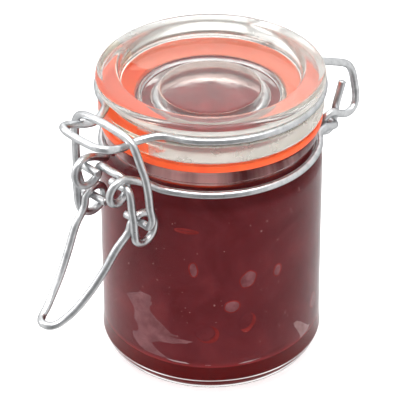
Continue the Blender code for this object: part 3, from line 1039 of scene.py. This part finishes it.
def make_lid_wire(material):
    """Round the lid, with the nose at the front and the two hinge arms at the back."""
    half = spots(
        (0.0439, 0.0, 0.0790),
        (0.0439, 0.0030, 0.0791),
        (0.0437, 0.0056, 0.0792),
        (0.0428, 0.0073, 0.0791),
        (0.0412, 0.0080, 0.0786),
        (0.0390, 0.0080, 0.0779),
        (0.0362, 0.0074, 0.0770),
        (0.0331, 0.0069, 0.0766),
        (0.0304, 0.0077, 0.0768),
    )
    half += round_jar(LID_WIRE_RADIUS, LID_WIRE_HEIGHT, 21, 153, 13.2)
    half += spots(
        (-0.0280, 0.0119, 0.0767),
        (-0.0303, 0.0120, 0.0758),
        (-0.0336, 0.0126, 0.0745),
        (-0.0362, 0.0129, 0.0731),
        (-0.0378, 0.0131, 0.0709),
        (-0.0386, 0.0135, 0.0670),
        (-0.0389, 0.0139, 0.0633),
        (-0.0382, 0.0142, 0.0609),
        (-0.0364, 0.0145, 0.0598),
        (-0.0342, 0.0146, 0.0598),
    )
    half += turn(HINGE_AXIS, (COIL_RADIUS, COIL_RADIUS), 140, -170, 0.0145, 0.0124)
    half += spots(
        (-0.0331, 0.0123, 0.0616),
        (-0.0342, 0.0123, 0.0648),
        (-0.0354, 0.0123, 0.0682),
    )
    obj = wire("lid_wire_round", smooth(mirrored(half)[:-1] + half), material, "jar_body")
    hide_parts("lid_wire")
    return obj


def make_lever(material):
    """The handle and, on each side, a loop for the link, an arm and a pin in the neck wire."""
    out, up = LEVER_AXIS
    half = spots(
        (0.0578, 0.0, 0.0317),
        (0.0573, 0.0015, 0.0317),
        (0.0560, 0.0026, 0.0320),
        (0.0538, 0.0034, 0.0330),
        (0.0513, 0.0043, 0.0348),
        (0.0470, 0.0055, 0.0390),
        (0.0432, 0.0066, 0.0440),
        (0.0398, 0.0075, 0.0492),
    )
    half += turn(LOOP_CENTRE, LOOP_RADII, 0, 360, 0.0081, 0.0103)
    half += spots(
        (0.0365, 0.0103, 0.0570),
        (0.0368, 0.0101, 0.0605),
        (0.0367, 0.0096, 0.0634),
        (out, 0.0083, up),
        (out, 0.0067, up),
        (out, LEVER_PIN_INNER, up),
    )
    obj = wire("lever_round", smooth(mirrored(half)[:-1] + half), material, "lever")
    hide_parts("lever")
    return obj


def make_link(material):
    """The bight that hooks over the nose, two bowed legs and a pin at the foot of each."""
    out, up = LINK_AXIS
    half = spots(
        (0.0365, 0.0, 0.0807),
        (0.0363, 0.0040, 0.0803),
        (0.0360, 0.0070, 0.0797),
        (0.0358, 0.0094, 0.0786),
        (0.0357, 0.0107, 0.0768),
        (0.0352, 0.0117, 0.0735),
        (0.0344, 0.0126, 0.0692),
        (0.0340, 0.0131, 0.0650),
        (0.0337, 0.0133, 0.0607),
        (out, 0.0132, up + 0.0022),
        (out, 0.0120, up),
        (out, 0.0103, up),
        (out, LINK_PIN_INNER, up),
    )
    obj = wire("link_round", smooth(mirrored(half)[:-1] + half), material, "link")
    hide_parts("link")
    return obj


# ---- Camera, floor and light -------------------------------------------------
def make_camera():
    """The camera, aimed a little off the jar's axis."""
    azimuth = radians(CAMERA_AZIMUTH)
    back = direction(CAMERA_AZIMUTH, CAMERA_ELEVATION)
    right = Vector((cos(azimuth), sin(azimuth), 0.0))
    up = back.cross(right)
    rolled_right = right * cos(CAMERA_ROLL) + up * sin(CAMERA_ROLL)
    rolled_up = up * cos(CAMERA_ROLL) - right * sin(CAMERA_ROLL)
    data = bpy.data.cameras.new("camera")
    data.lens = CAMERA_LENS
    data.sensor_width = SENSOR_WIDTH
    data.clip_start = 0.01
    camera = bpy.data.objects.new("camera", data)
    frame_of_camera = Matrix((rolled_right, rolled_up, back)).transposed().to_4x4()
    camera.matrix_world = Matrix.Translation(AIM + back * CAMERA_DISTANCE) @ frame_of_camera
    bpy.context.scene.collection.objects.link(camera)
    bpy.context.scene.camera = camera


def make_floor(material):
    """A wide white floor under the jar, which no glass or wire mirrors."""
    size = FLOOR_HALF_WIDTH
    z = -FLOOR_GAP
    verts = [(-size, -size, z), (size, -size, z), (size, size, z), (-size, size, z)]
    mesh = bpy.data.meshes.new("floor")
    mesh.from_pydata(verts, [], [(0, 1, 2, 3)])
    mesh.materials.append(material)
    obj = bpy.data.objects.new("floor", mesh)
    bpy.context.scene.collection.objects.link(obj)
    obj.visible_glossy = False


def make_softbox(name, azimuth, elevation, distance, size, power):
    """An area light that points at the middle of the jar."""
    away = direction(azimuth, elevation)
    data = bpy.data.lights.new(name, "AREA")
    data.shape = "RECTANGLE"
    data.size = size[0]
    data.size_y = size[1]
    data.energy = power
    light = bpy.data.objects.new(name, data)
    light.location = LIGHTS_AIM + away * distance
    light.rotation_euler = away.to_track_quat("Z", "Y").to_euler()
    bpy.context.scene.collection.objects.link(light)


def towards(world, place, elevation):
    """A node that gives how nearly a place lies in a direction on the camera's side."""
    made = node(world, "ShaderNodeVectorMath")
    made.operation = "DOT_PRODUCT"
    made.inputs[1].default_value = direction(CAMERA_AZIMUTH, elevation)
    link(world, place, "Generated", made, 0)
    return made


def make_world():
    """A studio tent: white overhead and behind the jar, dimmer low down on the camera's side."""
    world = bpy.data.worlds.new("surround")
    world.use_nodes = True
    background = world.node_tree.nodes["Background"]
    background.inputs["Strength"].default_value = SURROUND_STRENGTH
    place = node(world, "ShaderNodeTexCoord")
    opening = towards(world, place, TENT_OPENING_ELEVATION)
    start, end = TENT_OPENING_REACH
    tent_stops = [(start, (1.0, 1.0, 1.0)), (end, TENT_OPENING_COLOUR)]
    tent = ramp(world, opening, "Value", tent_stops)
    ground = towards(world, place, GROUND_ELEVATION)
    below = share(world, ground, "Value", *GROUND_REACH)
    both = mix_colours(world, below, tent, "Color")
    both.inputs[MIX_COLOUR_B].default_value = GROUND_COLOUR
    link(world, both, MIX_COLOUR_RESULT, background, "Color")
    bpy.context.scene.world = world


# ---- The scene ---------------------------------------------------------------
bpy.context.scene.view_settings.view_transform = "Standard"
make_camera()
make_world()
for settings in SOFTBOXES:
    make_softbox(*settings)
make_floor(make_floor_material())

ZINC = make_zinc()
JAM = make_jam_material()
PULP = make_fruit_material("fruit", (0.18, 0.044, 0.052), (0.32, 0.115, 0.125))
LARGE_PULP = make_fruit_material("large_fruit", (0.19, 0.058, 0.066), (0.32, 0.128, 0.138))
CORNER_PULP = make_fruit_material("corner_fruit", (0.32, 0.15, 0.15), (0.50, 0.29, 0.29))
FRUIT_SKIN = make_fruit_material("fruit_skin", (0.22, 0.016, 0.016), (0.36, 0.034, 0.032))
# A pale material for the slivers along the jam's bottom edge: a painted highlight.
PAINTED_EDGE_HIGHLIGHT = make_fruit_material("painted_edge_highlight", (0.55, 0.38, 0.38), (0.80, 0.68, 0.68))
SPECK = make_fruit_material("speck", (0.20, 0.02, 0.02), (0.46, 0.20, 0.20))

make_jar(make_glass(*JAR_GLASS))
make_jam(JAM, make_jam_top_material())
make_ring(make_rubber())
make_lid(make_lid_glasses())
make_fruit(PULP, FRUIT_SKIN, JAM)
make_flakes("large_piece", (LARGE_PIECE,), LARGE_PULP, FLAKE_RAGGED)
make_flakes("corner_piece", (CORNER_PIECE,), CORNER_PULP, FLAKE_RAGGED)
make_flakes("painted_highlight_slivers", PAINTED_HIGHLIGHT_SLIVERS, PAINTED_EDGE_HIGHLIGHT, SLIVER_RAGGED)
make_specks(SPECK)
make_neck_wire(ZINC)
make_lid_wire(ZINC)
make_lever(ZINC)
make_link(ZINC)
